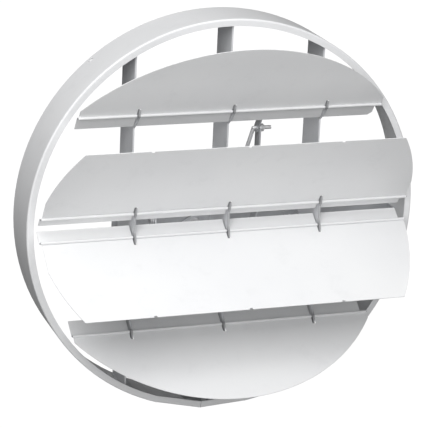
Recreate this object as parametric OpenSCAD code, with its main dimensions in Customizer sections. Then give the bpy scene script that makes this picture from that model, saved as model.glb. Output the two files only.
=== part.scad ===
// Round ceiling air diffuser with four opposed hinged blades.
// Frame: X along the hinge lines, Z up into the duct, origin at the centre of
// the ring's top rim. The room side, with the flange and the blades, faces -Z.
// Side A is the pair of blades toward -Y, side B the pair toward +Y.
// All lengths are in millimetres and all angles in degrees.

/* [Ring] */

// Outer radius of the ring that fits the duct
ring_radius = 254; // [150:1:320]
// Height of the ring
ring_height = 66; // [50:1:90]
// Thickness of the ring's sheet
ring_sheet = 1.5; // [1:0.1:2.5]
// Inner radius of the in-turned front flange
flange_radius = 245; // [140:1:310]
// Outside radius of the bend between wall and flange
bend_radius = 2.4; // [1.6:0.1:5]
// Radius of the fixing holes below the top rim
fixing_hole_radius = 3.25; // [2:0.05:5]
// Depth of the fixing holes below the top rim
fixing_hole_depth = 8; // [6:0.5:16]
// Direction of the first fixing hole about the ring
fixing_hole_angle = -129.8; // [-180:0.1:180]
// Direction of the butt seam about the ring
seam_angle = 94.7; // [90:0.1:100]
// Angle between the seam and the normal of each straight end of the rolled band
flat_sweep = 8.2; // [6.6:0.1:10]
// Radius of the peak where the two straight ends meet
peak_radius = 255.2; // [254.5:0.1:255.2]
// Distance of the splice rivets from the seam
splice_reach = 10; // [8:0.5:12]

/* [Bars] */

// Distance between neighbouring bars
bar_pitch = 121.6; // [80:0.1:150]
// Thickness of a bar
bar_sheet = 2; // [1:0.1:4]
// Height of a bar's front edge
bar_front = -61.25; // [-64:0.05:-50]
// Height of a bar's back edge
bar_back = -10; // [-20:0.5:-8]

/* [Hinges] */

// Height of the hinge wires, below the front flange
hinge_z = -79.8; // [-84:0.1:-76]
// Hinge line of the outer blade on side A
hinge_a_outer = -142.3; // [-160:0.1:-120]
// Hinge line of the inner blade on side A
hinge_a_inner = -18.7; // [-30:0.1:-12]
// Hinge line of the inner blade on side B
hinge_b_inner = 11.1; // [8:0.1:30]
// Hinge line of the outer blade on side B
hinge_b_outer = 134.7; // [120:0.1:160]
// Radius of a hinge wire
wire_radius = 1; // [0.8:0.05:2]
// Radial play of a wire in the rolled knuckle
wire_play = 0.05; // [0.01:0.01:0.1]

/* [Blades] */

// Thickness of the blade sheet
blade_sheet = 0.8; // [0.6:0.1:1.5]
// Front face of a closed blade above its hinge wire
blade_rise = 1.6; // [1.4:0.1:3]
// Opening angle of side A at rest
open_a = 33; // [7:1:52]
// Opening angle of side B at rest
open_b = 54; // [11:1:85]
// Outline radius of the outer blade on side A
circle_a_outer = 248; // [200:0.5:300]
// Outline radius of the inner blade on side A
circle_a_inner = 243; // [200:0.5:300]
// Outline radius of the inner blade on side B
circle_b_inner = 241.5; // [200:0.5:300]
// Outline radius of the outer blade on side B
circle_b_outer = 242; // [200:0.5:300]
// Length of the inner blade on side A from hinge to free edge
depth_a_inner = 114; // [90:1:130]
// Length of the inner blade on side B from hinge to free edge
depth_b_inner = 116; // [90:1:130]
// Half width of an inner blade
inner_half = 238.5; // [150:0.5:300]
// Half width of an outer blade
outer_half = 196; // [120:1:260]
// Width of the slots that pass the ears
slot_width = 4.2; // [3:0.1:6]
// Distance of a slot's middle from the middle of its bar
slot_shift = -0.7; // [-1:0.1:1]
// Length of a slot into the plate
slot_depth = 10.4; // [6:0.1:20]

/* [Linkage] */

// Crank radius on side A
crank_a_radius = 50; // [40:0.5:60]
// Angle of a side A crank above its closed blade
crank_a_lead = 15.2; // [10:0.1:25]
// Crank radius on side B
crank_b_radius = 32.1; // [28:0.1:50]
// Angle of a side B crank above its closed blade
crank_b_lead = 18.4; // [10:0.1:25]
// Thickness of cranks and tie bars
link_sheet = 2; // [1.5:0.1:4]
// Near face of tie bar A
tie_a_x = 46; // [40:0.5:60]
// Near face of tie bar B
tie_b_x = -89.5; // [-100:0.5:-80]
// Width of tie bar A
tie_a_width = 16; // [12:1:20]
// Width of tie bar B
tie_b_width = 13; // [12:1:16]
// Radius of the bent control rods
rod_radius = 2.45; // [2:0.05:3]
// Play of a rod or pin in its running hole
rod_play = 0.05; // [0.01:0.01:0.1]
// Play of rod A in the crank hole that it only follows
follow_play = 0.4; // [0.3:0.05:1]

/* [Operator] */

// Position of the lever's pivot along X
lever_x = -20; // [-30:1:-14]
// Position of the lever's pivot along Y
lever_y = 24; // [20:1:30]
// Angle of the lever at rest
lever_angle = -30.2; // [-45:0.1:0]
// Width of the slots at the lever's ends
lever_slot = 8; // [6:0.1:10]
// Radius of the operator stud
stud_radius = 4; // [3:0.1:6]

/* [Hidden] */

inner_wall = ring_radius - ring_sheet;
tab_outer = inner_wall - 0.1;
bar_places = [-bar_pitch, 0, bar_pitch];
knuckle_bore = wire_radius + wire_play;
knuckle_radius = knuckle_bore + blade_sheet;
blade_back = blade_rise + blade_sheet;
crank_foot = blade_back + 0.05;
pin_radius = 3;
ear_tip = 2.6;
// How far an ear's nose reaches along the plate and below the hinge
nose_a = [8, 2.9];
nose_b = [8.6, 4.6];
pin_a_y = crank_a_radius * cos(crank_a_lead + open_a);
pin_a_z = hinge_z + crank_a_radius * sin(crank_a_lead + open_a);
pin_b_y = -crank_b_radius * cos(crank_b_lead + open_b);
pin_b_z = hinge_z + crank_b_radius * sin(crank_b_lead + open_b);
pin_a1 = [0, hinge_a_outer + pin_a_y, pin_a_z];
pin_a2 = [0, hinge_a_inner + pin_a_y, pin_a_z];
pin_b1 = [0, hinge_b_outer + pin_b_y, pin_b_z];
pin_b2 = [0, hinge_b_inner + pin_b_y, pin_b_z];
crank_a_x = tie_a_x - link_sheet - 0.5;
crank_b_x = tie_b_x + 0.5;
tie_b_near = tie_b_x - link_sheet;
rod_a_points = [
  [63.5, pin_a1[1], pin_a1[2]], [40.5, pin_a1[1], pin_a1[2]], [12, 6, -30], [12, 6, -2.5]
];
rod_b_points = [
  [-107, pin_b1[1], pin_b1[2]], [-84, pin_b1[1], pin_b1[2]], [-58, 46.1, -30], [-58, 46.1, -2.5]
];
rail_y0 = 15;
rail_y1 = 33;
rail_top = -2.5;
rail_sheet = 2;
lever_top = -5.5;
lever_sheet = 3;
// Outer face of a straight end from the axis, its run from there to the seam, and the
// angle at which it leaves the curve
flat_face = peak_radius * cos(flat_sweep);
flat_run = peak_radius * sin(flat_sweep);
flat_leave = acos(flat_face / ring_radius);
flat_inside = flat_face - ring_sheet - 0.1;
splice_heights = [-16, -50];
splice_half = 16;

// Name of the node to draw, or all

// A cylinder along +X from the local origin
module rod_x(radius, length, sides = 32) {
  rotate([0, 90, 0]) cylinder(r = radius, h = length, $fn = sides);
}

// A cylinder from point a to point b
module rod_between(a, b, radius) {
  run = b - a;
  length = norm(run);
  translate(a)
    rotate([0, acos(run[2] / length), atan2(run[1], run[0])])
      cylinder(r = radius, h = length, $fn = 32);
}

// A cylinder that points outward from the ring's axis
module radial(angle, height, from, to, radius) {
  rotate([0, 0, angle])
    translate([from, 0, height])
      rod_x(radius, to - from, 24);
}

// Half section of the ring: wall, rounded bend and in-turned flange
module ring_section() {
  polygon(concat(
    [[inner_wall, 0], [ring_radius, 0]],
    [for (step = [0:5])
      [ring_radius - bend_radius + bend_radius * cos(-18 * step),
       bend_radius - ring_height + bend_radius * sin(-18 * step)]],
    [[flange_radius, -ring_height], [flange_radius, ring_sheet - ring_height]],
    [for (step = [5:-1:0])
      [ring_radius - bend_radius + (bend_radius - ring_sheet) * cos(-18 * step),
       bend_radius - ring_height + (bend_radius - ring_sheet) * sin(-18 * step)]]
  ));
}

// One straight end of the band, from the curve to a gap beside the seam's plane
module straight_end(side) {
  difference() {
    rotate([0, 0, seam_angle + side * flat_sweep])
      mirror([0, side < 0 ? 1 : 0, 0])
        translate([0, flat_face * tan(flat_leave - 0.3), 0])
          rotate([90, 0, 0])
            linear_extrude(80)
              translate([flat_face - ring_radius, 0]) ring_section();
    rotate([0, 0, seam_angle])
      translate([200, side > 0 ? -99.7 : -0.3, -ring_height - 1])
        cube([80, 100, ring_height + 2]);
  }
}

// A cylinder that points outward through a straight end, beside the seam
module splice_spot(side, height, from, to, radius) {
  rotate([0, 0, seam_angle + side * flat_sweep])
    translate([from, side * (splice_reach - flat_run), height])
      rod_x(radius, to - from, 24);
}

// Rolled ring with straight ends at its butt seam, fixing holes and splice rivet holes
module ring() {
  bent_from = flat_sweep + flat_leave - 0.6;
  color([0.88, 0.89, 0.9])
    difference() {
      union() {
        rotate([0, 0, seam_angle + bent_from])
          rotate_extrude(angle = 360 - 2 * bent_from, $fn = 144) ring_section();
        straight_end(-1);
        straight_end(1);
      }
      for (turn = [0, 90, 180, 270])
        radial(fixing_hole_angle + turn, -fixing_hole_depth, 240, 260, fixing_hole_radius);
      for (side = [-1, 1], height = splice_heights)
        splice_spot(side, height, 240, 260, 2.05);
    }
}

// Part of a thin cylindrical shell, used for tabs that lie on the ring's wall
module shell(outer, sheet, low, high, from_angle, sweep) {
  rotate([0, 0, from_angle])
    rotate_extrude(angle = sweep, $fn = 144)
      translate([outer - sheet, low])
        square([sheet, high - low]);
}

// Strip behind the butt seam, bent to lie on both straight ends
module splice_plate() {
  outer = flat_inside / cos(flat_sweep);
  inner = outer - 1.2 / cos(flat_sweep);
  back = splice_half * sin(flat_sweep);
  wide = splice_half * cos(flat_sweep);
  color([0.72, 0.73, 0.74])
    difference() {
      rotate([0, 0, seam_angle])
        translate([0, 0, -62])
          linear_extrude(56)
            polygon([
              [outer, 0], [outer - back, wide], [inner - back, wide],
              [inner, 0], [inner - back, -wide], [outer - back, -wide]
            ]);
      for (side = [-1, 1], height = splice_heights)
        splice_spot(side, height, 240, 260, 2.05);
    }
}

// Rivets of the splice, flush outside and headed inside
module splice_rivets() {
  color([0.7, 0.7, 0.71])
    for (side = [-1, 1], height = splice_heights) {
      splice_spot(side, height, flat_inside - 1.25, flat_face, 2);
      splice_spot(side, height, flat_inside - 2.3, flat_inside - 1.2, 3.5);
    }
}

// Ear that carries one hinge; its long shoulder runs toward +Y when side is 1, and
// its nose, on the other side, fills the blade's slot
module ear_outline(hinge, side, nose) {
  difference() {
    union() {
      translate([hinge, hinge_z]) circle(r = ear_tip, $fn = 32);
      polygon([
        [hinge, hinge_z - ear_tip], [hinge + ear_tip * side, hinge_z],
        [hinge + 8 * side, -76], [hinge + 17 * side, -66],
        [hinge + 21 * side, bar_front + 0.5], [hinge - 13 * side, bar_front + 0.5],
        [hinge - 9.3 * side, -75.5], [hinge - nose[0] * side, hinge_z - nose[1]]
      ]);
    }
    translate([hinge, hinge_z]) circle(r = wire_radius + 0.02, $fn = 32);
  }
}

// Wide middle ear that carries both inner hinges
module middle_ear_outline() {
  difference() {
    union() {
      translate([hinge_a_inner, hinge_z]) circle(r = ear_tip, $fn = 32);
      translate([hinge_b_inner, hinge_z]) circle(r = ear_tip, $fn = 32);
      polygon([
        [hinge_a_inner - nose_a[0], hinge_z - nose_a[1]], [hinge_a_inner, hinge_z - ear_tip],
        [hinge_a_inner + 6, hinge_z + 1], [hinge_b_inner - 6, hinge_z + 1],
        [hinge_b_inner, hinge_z - ear_tip], [hinge_b_inner + nose_b[0], hinge_z - nose_b[1]],
        [hinge_b_inner + 9.3, -75.5], [hinge_b_inner + 13, bar_front + 0.5],
        [hinge_a_inner - 13, bar_front + 0.5], [hinge_a_inner - 9.3, -75.5]
      ]);
    }
    translate([hinge_a_inner, hinge_z]) circle(r = wire_radius + 0.02, $fn = 32);
    translate([hinge_b_inner, hinge_z]) circle(r = wire_radius + 0.02, $fn = 32);
  }
}

// Flat part of a bar with its ears, from one end to the other along Y
module bar_plate(place, low_end, high_end) {
  translate([place - bar_sheet / 2, 0, 0])
    rotate([90, 0, 90])
      linear_extrude(bar_sheet) {
        translate([low_end, bar_front])
          square([high_end - low_end, bar_back - bar_front]);
        ear_outline(hinge_a_outer, 1, nose_a);
        ear_outline(hinge_b_outer, -1, nose_b);
        middle_ear_outline();
      }
}

// Bar beside the middle, with end tabs bent against the curved wall
module side_bar(place) {
  reach = sqrt(tab_outer * tab_outer - place * place);
  far_angle = atan2(reach, place);
  color([0.8, 0.81, 0.82]) {
    intersection() {
      bar_plate(place, -tab_outer, tab_outer);
      translate([0, 0, -100]) cylinder(r = tab_outer - bar_sheet / 2, h = 100, $fn = 144);
    }
    shell(tab_outer, bar_sheet, bar_front + 3, bar_back - 3, far_angle - 4.2, 4.8);
    shell(tab_outer, bar_sheet, bar_front + 3, bar_back - 3, -far_angle - 0.6, 4.8);
  }
}

module bar_left() {
  side_bar(-bar_pitch);
}

// Middle bar: one tab on the curved wall, the other on a straight end of the band
module bar_center() {
  turn = seam_angle - flat_sweep;
  high_end = (flat_inside - bar_sheet / 2) / sin(turn);
  along = high_end * cos(turn);
  color([0.8, 0.81, 0.82]) {
    bar_plate(0, bar_sheet / 2 - tab_outer, high_end);
    rotate([0, 0, turn])
      translate([flat_inside - bar_sheet, along - 18, bar_front + 3])
        cube([bar_sheet, 18.6, bar_back - bar_front - 6]);
    shell(tab_outer, bar_sheet, bar_front + 3, bar_back - 3, -90.6, 4.8);
  }
}

module bar_right() {
  side_bar(bar_pitch);
}

// Flat rail that carries the operator, with a tab on the ring's wall
module cross_rail() {
  color([0.75, 0.76, 0.77])
    difference() {
      union() {
        intersection() {
          translate([-128, rail_y0, rail_top - rail_sheet])
            cube([400, rail_y1 - rail_y0, rail_sheet]);
          translate([0, 0, -50]) cylinder(r = tab_outer, h = 100, $fn = 144);
        }
        shell(tab_outer, rail_sheet, -22, rail_top, 3.5, 4);
      }
      translate([lever_x, lever_y, -20])
        cylinder(r = stud_radius + rod_play, h = 30, $fn = 48);
      for (side = [-1, 1])
        translate([side * (bar_pitch - 11), lever_y, -20])
          cylinder(r = 2.05, h = 30, $fn = 24);
    }
}

// Angle brackets between the outer bars and the rail
module rail_brackets() {
  face = bar_pitch - bar_sheet / 2 - 0.05;
  under = rail_top - rail_sheet - 0.05;
  color([0.75, 0.76, 0.77])
    for (side = [0, 1])
      mirror([side, 0, 0])
        difference() {
          union() {
            translate([face - 2, 16, -32]) cube([2, 16, under + 32]);
            translate([face - 18, 16, under - 2]) cube([18, 16, 2]);
          }
          translate([bar_pitch - 11, lever_y, -20]) cylinder(r = 2.05, h = 30, $fn = 24);
          for (height = [-17, -27])
            translate([face - 5, lever_y, height]) rod_x(2.05, 10, 24);
        }
}

// Rivets that hold the brackets, as separate solids
module bracket_rivets() {
  face = bar_pitch - bar_sheet / 2 - 0.05;
  color([0.7, 0.7, 0.71])
    for (side = [0, 1])
      mirror([side, 0, 0]) {
        for (height = [-17, -27]) {
          translate([face - 2, lever_y, height]) rod_x(2, 2 + bar_sheet + 0.1, 24);
          translate([face - 3.1, lever_y, height]) rod_x(3.5, 1.05, 24);
          translate([face + bar_sheet + 0.1, lever_y, height]) rod_x(3.5, 1, 24);
        }
        translate([bar_pitch - 11, lever_y, rail_top - rail_sheet - 3.1])
          cylinder(r = 3.5, h = 1, $fn = 24);
        translate([bar_pitch - 11, lever_y, rail_top - rail_sheet - 2.15])
          cylinder(r = 2, h = rail_sheet + 2.2, $fn = 24);
        translate([bar_pitch - 11, lever_y, rail_top + 0.03])
          cylinder(r = 3.5, h = 1, $fn = 24);
      }
}

// Straight hinge wire between two ends
module hinge_wire(hinge, from, to) {
  color([0.62, 0.62, 0.63])
    translate([from, hinge, hinge_z]) rod_x(wire_radius, to - from, 32);
}

// Outline of a closed blade: x along the hinge, y from the hinge to the free edge
module blade_outline(circle_radius, shift, offset, half, depth, lip, lip_from, lip_to, chamfer) {
  difference() {
    union() {
      intersection() {
        translate([shift, -offset]) circle(r = circle_radius, $fn = 240);
        translate([-half, 0.15]) square([2 * half, depth]);
      }
      polygon([
        [lip_from, -0.15], [lip_from, -lip],
        [lip_to - chamfer, -lip], [lip_to, chamfer - lip], [lip_to, -0.15]
      ]);
    }
    for (place = bar_places)
      translate([place + slot_shift - slot_width / 2, -lip - 1])
        square([slot_width, lip + 1 + slot_depth]);
    for (place = bar_places)
      translate([place - 2, depth - 1.8])
        square([4, 5]);
  }
}

// Rolled knuckle with an open slit, cut away at the bars
module knuckle(from, to) {
  difference() {
    translate([from, 0, 0]) rod_x(knuckle_radius, to - from, 32);
    translate([from - 1, 0, 0]) rod_x(knuckle_bore, to - from + 2, 32);
    translate([from - 1, -0.15, 0]) cube([to - from + 2, 0.3, 3]);
    for (place = bar_places)
      translate([place + slot_shift - slot_width / 2, -4, -4]) cube([slot_width, 8, 8]);
  }
}

// Moves a closed blade's local shape to its hinge; 0 and 1 are side A, 2 and 3 side B
module at_hinge(side) {
  hinges = [hinge_a_outer, hinge_a_inner, hinge_b_inner, hinge_b_outer];
  translate([0, hinges[side], hinge_z])
    rotate([side < 2 ? open_a : -open_b, 0, 0])
      mirror([0, side < 2 ? 1 : 0, 0])
        children();
}

// One blade: plate, lip and knuckle, built closed with its wire at the origin.
// The outline is [circle radius, shift, offset, half width, depth], the edge is
// [lip length, lip start, lip end, chamfer], and the knuckle runs from one x to another.
module blade(which, outline, edge, from, to) {
  color([0.87, 0.88, 0.89])
    at_hinge(which)
      difference() {
        union() {
          knuckle(from, to);
          translate([0, 0, blade_rise])
            linear_extrude(blade_sheet)
              blade_outline(outline[0], outline[1], outline[2], outline[3], outline[4],
                            edge[0], edge[1], edge[2], edge[3]);
        }
        translate([from - 1, 0, 0]) rod_x(knuckle_bore, to - from + 2, 32);
      }
}

// Crank: upright arm beside the tie bar, and a foot spot welded to the blade
module crank(which, near, radius, lead, hole, foot_side) {
  reach = [-radius * cos(lead), radius * sin(lead)];
  color([0.76, 0.77, 0.78])
    at_hinge(which)
      translate([near, 0, 0])
        difference() {
          union() {
            rotate([90, 0, 90])
              linear_extrude(link_sheet)
                union() {
                  hull() {
                    translate(reach) circle(r = 6, $fn = 32);
                    translate([-12, 13]) circle(r = 5, $fn = 32);
                  }
                  hull() {
                    translate([-12, 13]) circle(r = 5, $fn = 32);
                    translate([6, crank_foot]) square([28, 2]);
                  }
                }
            translate([foot_side < 0 ? -11 : 0, 6, crank_foot])
              cube([link_sheet + 11, 28, link_sheet]);
          }
          translate([-5, reach[0], reach[1]]) rod_x(hole, 12, 32);
        }
}

// Tie bar between the two cranks of one side
module tie_bar(near, outer_y, inner_y, height, width, outer_hole) {
  color([0.8, 0.81, 0.82])
    translate([near, 0, 0])
      difference() {
        rotate([90, 0, 90])
          linear_extrude(link_sheet)
            hull() {
              translate([outer_y, height]) circle(r = width / 2, $fn = 40);
              translate([inner_y, height]) circle(r = width / 2, $fn = 40);
            }
        translate([-4, outer_y, height]) rod_x(outer_hole, 10, 32);
        translate([-4, inner_y, height]) rod_x(pin_radius + rod_play, 10, 32);
      }
}

// Shoulder pin fixed in the inner crank; side is the direction toward the tie bar
module tie_pin(near, y, z, side) {
  color([0.7, 0.7, 0.71])
    translate([near, y, z])
      mirror([side < 0 ? 1 : 0, 0, 0]) {
        translate([-1.5, 0, 0]) rod_x(5, 1.45, 32);
        translate([-0.1, 0, 0]) rod_x(pin_radius, 5.1, 32);
        translate([4.8, 0, 0]) rod_x(5, 1.5, 32);
      }
}

// Bent control rod: level end through crank and tie bar, slant run, upright end
module link_rod(points) {
  color([0.83, 0.83, 0.84]) {
    for (index = [0:2]) rod_between(points[index], points[index + 1], rod_radius);
    for (index = [1, 2]) translate(points[index]) sphere(r = rod_radius + 0.04, $fn = 32);
  }
}

// Flat washer on the rod's level end
module rod_washer(near, y, z) {
  color([0.7, 0.7, 0.71])
    translate([near, y, z])
      difference() {
        rod_x(6.5, 1, 40);
        translate([-1, 0, 0]) rod_x(rod_radius + 0.1, 3, 32);
      }
}

// Hexagon nut on the rod's level end
module rod_nut(near, y, z) {
  color([0.74, 0.74, 0.75])
    translate([near, y, z])
      difference() {
        rod_x(5.1, 4, 6);
        translate([-1, 0, 0]) rod_x(rod_radius + 0.03, 6, 32);
      }
}

// Operator lever with a slot at each end for the rods
module operator_lever() {
  color([0.78, 0.79, 0.8])
    translate([lever_x, lever_y, lever_top - lever_sheet])
      rotate([0, 0, lever_angle])
        linear_extrude(lever_sheet)
          difference() {
            hull() {
              translate([44, 0]) circle(r = 8, $fn = 40);
              circle(r = 11, $fn = 48);
              translate([-52, 0]) circle(r = 8, $fn = 40);
            }
            circle(r = stud_radius + 0.02, $fn = 48);
            hull() {
              translate([33, 0]) circle(r = lever_slot / 2, $fn = 32);
              translate([44, 0]) circle(r = lever_slot / 2, $fn = 32);
            }
            hull() {
              translate([-39.5, 0]) circle(r = lever_slot / 2, $fn = 32);
              translate([-52, 0]) circle(r = lever_slot / 2, $fn = 32);
            }
          }
}

// Stud that turns the lever: hexagon head with a driver slot, and a plain shank
module operator_stud() {
  color([0.72, 0.72, 0.73])
    translate([lever_x, lever_y, 0])
      difference() {
        union() {
          translate([0, 0, -24]) cylinder(r = 7.5, h = 14.3, $fn = 6);
          translate([0, 0, -12]) cylinder(r = stud_radius, h = 11.4, $fn = 48);
        }
        translate([-9, -0.8, -25]) cube([18, 1.6, 4]);
      }
}

// Spring washer between the head and the lever
module operator_washer() {
  color([0.68, 0.68, 0.69])
    translate([lever_x, lever_y, -9.6])
      difference() {
        cylinder(r = 8.5, h = 1, $fn = 48);
        translate([0, 0, -1]) cylinder(r = stud_radius + 0.1, h = 3, $fn = 48);
      }
}

// Retaining clip above the rail
module operator_clip() {
  color([0.6, 0.6, 0.61])
    translate([lever_x, lever_y, -2.1])
      difference() {
        cylinder(r = 7, h = 0.8, $fn = 48);
        translate([0, 0, -1]) cylinder(r = stud_radius + 0.02, h = 3, $fn = 48);
      }
}

ring();
splice_plate();
splice_rivets();
bar_left();
bar_center();
bar_right();
cross_rail();
rail_brackets();
bracket_rivets();
hinge_wire(hinge_a_outer, -198, 196);  // hinge_wire_a_outer
hinge_wire(hinge_a_inner, -241, 240);  // hinge_wire_a_inner
hinge_wire(hinge_b_inner, -241, 240);  // hinge_wire_b_inner
hinge_wire(hinge_b_outer, -198, 196);  // hinge_wire_b_outer
blade(0, [circle_a_outer, 0, 141.4, outer_half, 140], [20.5, -198, 188, 5], -197, 195);  // blade_a_outer
blade(1, [circle_a_inner, 0, 17.8, inner_half, depth_a_inner], [13.5, -241.5, 232, 1], -240, 239);  // blade_a_inner
blade(2, [circle_b_inner, -2.5, 9.8, inner_half, depth_b_inner], [19, -241.5, 232, 1], -240, 239);  // blade_b_inner
blade(3, [circle_b_outer, 0, 133.4, outer_half, 140], [23.5, -198, 188, 1], -197, 195);  // blade_b_outer
crank(0, crank_a_x, crank_a_radius, crank_a_lead, rod_radius + follow_play, -1);  // crank_a_outer
crank(1, crank_a_x, crank_a_radius, crank_a_lead, pin_radius + 0.02, -1);  // crank_a_inner
crank(2, crank_b_x, crank_b_radius, crank_b_lead, pin_radius + 0.02, 1);  // crank_b_inner
crank(3, crank_b_x, crank_b_radius, crank_b_lead, rod_radius + follow_play, 1);  // crank_b_outer
tie_bar(tie_a_x, pin_a1[1], pin_a2[1], pin_a_z, tie_a_width, rod_radius + rod_play);  // tie_bar_a
tie_bar(tie_b_near, pin_b1[1], pin_b2[1], pin_b_z, tie_b_width, rod_radius + rod_play);  // tie_bar_b
tie_pin(crank_a_x, pin_a2[1], pin_a_z, 1);  // tie_pin_a
tie_pin(crank_b_x + link_sheet, pin_b2[1], pin_b_z, -1);  // tie_pin_b
link_rod(rod_a_points);  // link_rod_a
link_rod(rod_b_points);  // link_rod_b
rod_washer(tie_a_x + link_sheet + 0.3, pin_a1[1], pin_a_z);  // rod_washer_a
rod_washer(tie_b_near - 1.3, pin_b1[1], pin_b_z);  // rod_washer_b
rod_nut(tie_a_x + link_sheet + 1.35, pin_a1[1], pin_a_z);  // rod_nut_a
rod_nut(tie_b_near - 5.35, pin_b1[1], pin_b_z);  // rod_nut_b
operator_lever();
operator_stud();
operator_washer();
operator_clip();
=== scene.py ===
"""Looks, camera and light for the round ceiling air diffuser. Metres, +Z up into the duct."""

import bpy
from mathutils import Matrix, Vector

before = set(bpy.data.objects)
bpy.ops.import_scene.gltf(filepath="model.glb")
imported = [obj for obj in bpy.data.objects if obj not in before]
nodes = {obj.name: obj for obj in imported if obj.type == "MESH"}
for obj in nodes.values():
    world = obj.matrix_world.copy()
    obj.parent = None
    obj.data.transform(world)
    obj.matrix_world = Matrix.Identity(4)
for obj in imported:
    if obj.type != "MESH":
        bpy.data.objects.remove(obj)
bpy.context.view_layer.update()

# Camera: below the ceiling, to the -X and -Y side of the ring's axis, seen through a long lens
EYE = Vector((-0.8368, -0.7836, -2.2923))
RIGHT = Vector((0.9423, -0.04566, -0.33164))
UP = Vector((0.06241, -0.94932, 0.30804))
FORWARD = Vector((0.3289, 0.31097, 0.8917))
SENSOR = 36.0
LENS = 169.55
CLIP_END = 30.0

# Light: directions point from the object toward each lamp
TARGET = Vector((0.0, 0.0, -0.05))
LIGHT_DISTANCE = 2.2
LIGHT_SIZE = 2.0
LIGHTS = (
    ("key", Vector((-0.42, -0.62, -0.66)), 43.0),
    ("side", Vector((-0.25, -0.95, -0.15)), 21.0),
    ("far", Vector((0.5, -0.3, -0.8)), 13.0),
    ("low", Vector((0.0, 0.6, -0.8)), 8.0),
    ("near", Vector((-0.65, 0.1, -0.75)), 6.5),
    ("back", Vector((0.35, 0.6, 0.75)), 4.0),
)

# White behind the object as the camera sees it, and the dimmer glow that it casts
WORLD_SEEN = 1.05
WORLD_CAST = 0.05

# Painted shade on the bars' ears, which sit in shade inside the blades' slots: its strength up to
# the hinges' height, and how far above them it fades out
EAR_SHADE_STRENGTH = 0.6
EAR_SHADE_TONE = (0.10, 0.10, 0.105)
EAR_SHADE_RISE = 0.005
HINGE_Z = -0.0798

# Floor of the room, under the ceiling that the object hangs in
FLOOR_Z = -2.9
FLOOR_SIZE = 12.0
FLOOR_TONE = (0.86, 0.86, 0.86)
FLOOR_SHADE = (0.83, 0.83, 0.83)
FLOOR_ROUGHNESS = 0.8

# Surface reflection of the paint, and how metallic the zinc is
PAINT_SPECULAR = 0.42
ZINC_METALLIC = 0.6

# Brightness of the rubbed spots in the paint, as a share of its shade
RUB_TONE = 0.9

# Spangle cells of the zinc to the metre
SPANGLE_SCALE = 170.0

# A mix node's colour sockets by number, because its sockets for other data types have the same names
MIX_FIRST = 6
MIX_SECOND = 7
MIX_RESULT = 2


class Recipe:
    """A node material built up step by step."""

    def __init__(self, name):
        self.material = bpy.data.materials.new(name)
        self.material.use_nodes = True
        self.tree = self.material.node_tree
        self.shader = self.tree.nodes["Principled BSDF"]
        self.place = self.add("ShaderNodeTexCoord").outputs["Object"]

    def add(self, kind, **settings):
        node = self.tree.nodes.new(kind)
        for name, value in settings.items():
            setattr(node, name, value)
        return node

    def link(self, source, target):
        self.tree.links.new(source, target)

    def stretched(self, scale):
        """Object coordinates scaled by a different amount along each axis."""
        mapping = self.add("ShaderNodeMapping")
        mapping.inputs["Scale"].default_value = scale
        self.link(self.place, mapping.inputs["Vector"])
        return mapping.outputs["Vector"]

    def noise(self, scale, detail=3.0, roughness=0.5, vector=None):
        node = self.add("ShaderNodeTexNoise")
        node.inputs["Scale"].default_value = scale
        node.inputs["Detail"].default_value = detail
        node.inputs["Roughness"].default_value = roughness
        self.link(vector or self.place, node.inputs["Vector"])
        return node.outputs["Fac"]

    def remap(self, value, low, high, from_low=0.3, from_high=0.7):
        node = self.add("ShaderNodeMapRange")
        node.inputs["From Min"].default_value = from_low
        node.inputs["From Max"].default_value = from_high
        node.inputs["To Min"].default_value = low
        node.inputs["To Max"].default_value = high
        self.link(value, node.inputs["Value"])
        return node.outputs["Result"]

    def blend(self, factor, first, second):
        node = self.add("ShaderNodeMix", data_type="RGBA")
        self.link(factor, node.inputs["Factor"])
        for index, colour in ((MIX_FIRST, first), (MIX_SECOND, second)):
            if isinstance(colour, tuple):
                node.inputs[index].default_value = (*colour, 1.0)
            else:
                self.link(colour, node.inputs[index])
        return node.outputs[MIX_RESULT]

    def bumps(self, layers):
        """Stacks (height, strength, distance) layers into the shader's normal."""
        normal = None
        for height, strength, distance in layers:
            node = self.add("ShaderNodeBump")
            node.inputs["Strength"].default_value = strength
            node.inputs["Distance"].default_value = distance
            self.link(height, node.inputs["Height"])
            if normal is not None:
                self.link(normal, node.inputs["Normal"])
            normal = node.outputs["Normal"]
        self.link(normal, self.shader.inputs["Normal"])


def paint(name, colour, shade, roughness, shaded_ears=False):
    """Satin powder coat on sheet metal: orange peel, faint cloudiness and rub marks.

    A coat for the bars turns dark toward the hinge wires: painted shade where the ears sit in the
    blades' slots.
    """
    recipe = Recipe(name)
    cloud = recipe.noise(9.0, 2.0)
    speck = recipe.noise(900.0, 2.0)
    peel = recipe.noise(420.0, 1.0)
    dust = recipe.remap(recipe.noise(38.0, 6.0, 0.65), 0.0, 0.35, 0.56, 0.74)
    tone = recipe.blend(recipe.remap(cloud, 0.0, 1.0), colour, shade)
    tone = recipe.blend(dust, tone, tuple(RUB_TONE * c for c in shade))
    # Painted shade: the coat darkens below the hinges' height, where the ears sit in shade inside
    # the blades' slots
    if shaded_ears:
        height = recipe.add("ShaderNodeSeparateXYZ")
        recipe.link(recipe.place, height.inputs["Vector"])
        ear_shade_mask = recipe.remap(height.outputs["Z"], EAR_SHADE_STRENGTH, 0.0, HINGE_Z, HINGE_Z + EAR_SHADE_RISE)
        tone = recipe.blend(ear_shade_mask, tone, EAR_SHADE_TONE)
    recipe.link(tone, recipe.shader.inputs["Base Color"])
    gloss = recipe.remap(speck, roughness - 0.05, roughness + 0.07)
    recipe.link(gloss, recipe.shader.inputs["Roughness"])
    recipe.shader.inputs["Specular IOR Level"].default_value = PAINT_SPECULAR
    waviness = recipe.noise(5.0, 1.0)
    recipe.bumps([(peel, 0.10, 0.0004), (waviness, 0.05, 0.004)])
    return recipe.material


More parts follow.
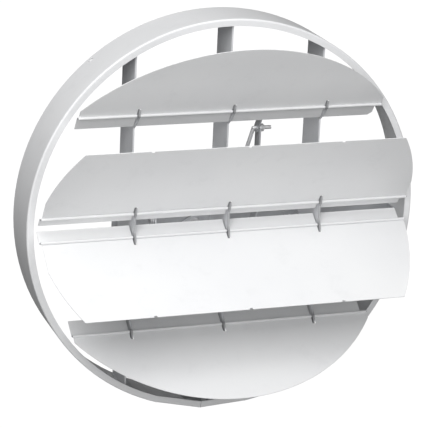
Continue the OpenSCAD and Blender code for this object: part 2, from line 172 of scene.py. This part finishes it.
def zinc(name, colour, shade, roughness, grain):
    """Zinc plated steel: spangle, drawn grain along one axis and dull patches."""
    recipe = Recipe(name)
    cells = recipe.add("ShaderNodeTexVoronoi")
    cells.inputs["Scale"].default_value = SPANGLE_SCALE
    recipe.link(recipe.place, cells.inputs["Vector"])
    split = recipe.add("ShaderNodeSeparateColor")
    recipe.link(cells.outputs["Color"], split.inputs["Color"])
    spangle = split.outputs["Red"]
    drawn = recipe.noise(1.0, 3.0, 0.6, recipe.stretched(grain))
    patches = recipe.noise(26.0, 4.0)
    tone = recipe.blend(recipe.remap(spangle, 0.0, 0.5, 0.0, 1.0), colour, shade)
    tone = recipe.blend(recipe.remap(patches, 0.0, 0.5), tone, shade)
    recipe.link(tone, recipe.shader.inputs["Base Color"])
    gloss = recipe.remap(drawn, roughness - 0.07, roughness + 0.09)
    recipe.link(gloss, recipe.shader.inputs["Roughness"])
    recipe.shader.inputs["Metallic"].default_value = ZINC_METALLIC
    recipe.bumps([(drawn, 0.12, 0.0003), (spangle, 0.04, 0.0002)])
    return recipe.material


RING_PAINT = paint("ring_paint", (0.80, 0.805, 0.815), (0.765, 0.77, 0.78), 0.42)
BLADE_PAINT = paint("blade_paint", (0.80, 0.805, 0.81), (0.77, 0.775, 0.785), 0.45)
# The bars carry painted shade on their ears below the hinges
BAR_PAINT = paint("bar_paint", (0.72, 0.73, 0.75), (0.68, 0.69, 0.71), 0.5, shaded_ears=True)
RAIL_ZINC = zinc("rail_zinc", (0.60, 0.61, 0.63), (0.52, 0.53, 0.55), 0.42, (20.0, 260.0, 260.0))
LINK_ZINC = zinc("link_zinc", (0.72, 0.73, 0.75), (0.64, 0.65, 0.67), 0.42, (260.0, 30.0, 260.0))
ROD_ZINC = zinc("rod_zinc", (0.85, 0.85, 0.86), (0.76, 0.76, 0.77), 0.36, (60.0, 60.0, 600.0))
SCREW_ZINC = zinc("screw_zinc", (0.82, 0.82, 0.83), (0.72, 0.72, 0.73), 0.35, (400.0, 400.0, 400.0))
WIRE_STEEL = zinc("wire_steel", (0.45, 0.45, 0.46), (0.36, 0.36, 0.37), 0.4, (30.0, 500.0, 500.0))

FINISH = (
    ("blade_", BLADE_PAINT),
    ("bar_", BAR_PAINT),
    ("ring", RING_PAINT),
    ("splice_rivets", SCREW_ZINC),
    ("splice_plate", RAIL_ZINC),
    ("cross_rail", RAIL_ZINC),
    ("rail_brackets", RAIL_ZINC),
    ("bracket_rivets", SCREW_ZINC),
    ("hinge_wire_", WIRE_STEEL),
    ("crank_", LINK_ZINC),
    ("tie_bar_", LINK_ZINC),
    ("tie_pin_", SCREW_ZINC),
    ("link_rod_", ROD_ZINC),
    ("rod_", SCREW_ZINC),
    ("operator_lever", LINK_ZINC),
    ("operator_", SCREW_ZINC),
)


def finish_for(name):
    """The material of the first entry in FINISH that the node's name starts with."""
    for start, material in FINISH:
        if name.startswith(start):
            return material
    raise KeyError(name)


def dress_nodes():
    """Gives every CAD node its own material."""
    for name, piece in nodes.items():
        piece.data.materials.clear()
        piece.data.materials.append(finish_for(name))


def make_camera():
    """The camera at the photograph's viewing angle."""
    data = bpy.data.cameras.new("camera")
    camera = bpy.data.objects.new("camera", data)
    bpy.context.scene.collection.objects.link(camera)
    turn = Matrix((RIGHT, UP, -FORWARD)).transposed()
    camera.matrix_world = Matrix.Translation(EYE) @ turn.to_4x4()
    data.sensor_fit = "HORIZONTAL"
    data.sensor_width = SENSOR
    data.lens = LENS
    data.clip_end = CLIP_END
    bpy.context.scene.camera = camera


def area_light(name, way, watts):
    """A square soft light that faces the object."""
    data = bpy.data.lights.new(name, "AREA")
    data.shape = "SQUARE"
    data.size = LIGHT_SIZE
    data.energy = watts
    lamp = bpy.data.objects.new(name, data)
    bpy.context.scene.collection.objects.link(lamp)
    lamp.location = TARGET + way.normalized() * LIGHT_DISTANCE
    lamp.rotation_euler = (TARGET - lamp.location).to_track_quat("-Z", "Y").to_euler()


def make_world():
    """White behind the object, with a dimmer glow falling on it."""
    world = bpy.data.worlds.new("studio")
    bpy.context.scene.world = world
    world.use_nodes = True
    tree = world.node_tree
    glow = tree.nodes["Background"]
    path = tree.nodes.new("ShaderNodeLightPath")
    strength = tree.nodes.new("ShaderNodeMapRange")
    strength.inputs["To Min"].default_value = WORLD_CAST
    strength.inputs["To Max"].default_value = WORLD_SEEN
    tree.links.new(path.outputs["Is Camera Ray"], strength.inputs["Value"])
    tree.links.new(strength.outputs["Result"], glow.inputs["Strength"])
    glow.inputs["Color"].default_value = (1.0, 1.0, 1.0, 1.0)


def make_floor():
    """Plain pale floor of the room, far below the ceiling."""
    bpy.ops.mesh.primitive_plane_add(size=FLOOR_SIZE, location=(0.0, 0.0, FLOOR_Z))
    floor = bpy.context.object
    floor.name = "floor"
    recipe = Recipe("floor_pale")
    speck = recipe.noise(60.0, 3.0)
    tone = recipe.blend(recipe.remap(speck, 0.0, 1.0), FLOOR_TONE, FLOOR_SHADE)
    recipe.link(tone, recipe.shader.inputs["Base Color"])
    recipe.shader.inputs["Roughness"].default_value = FLOOR_ROUGHNESS
    floor.data.materials.append(recipe.material)


dress_nodes()
make_camera()
make_world()
for name, way, watts in LIGHTS:
    area_light(name, way, watts)
make_floor()
bpy.context.scene.view_settings.view_transform = "Standard"
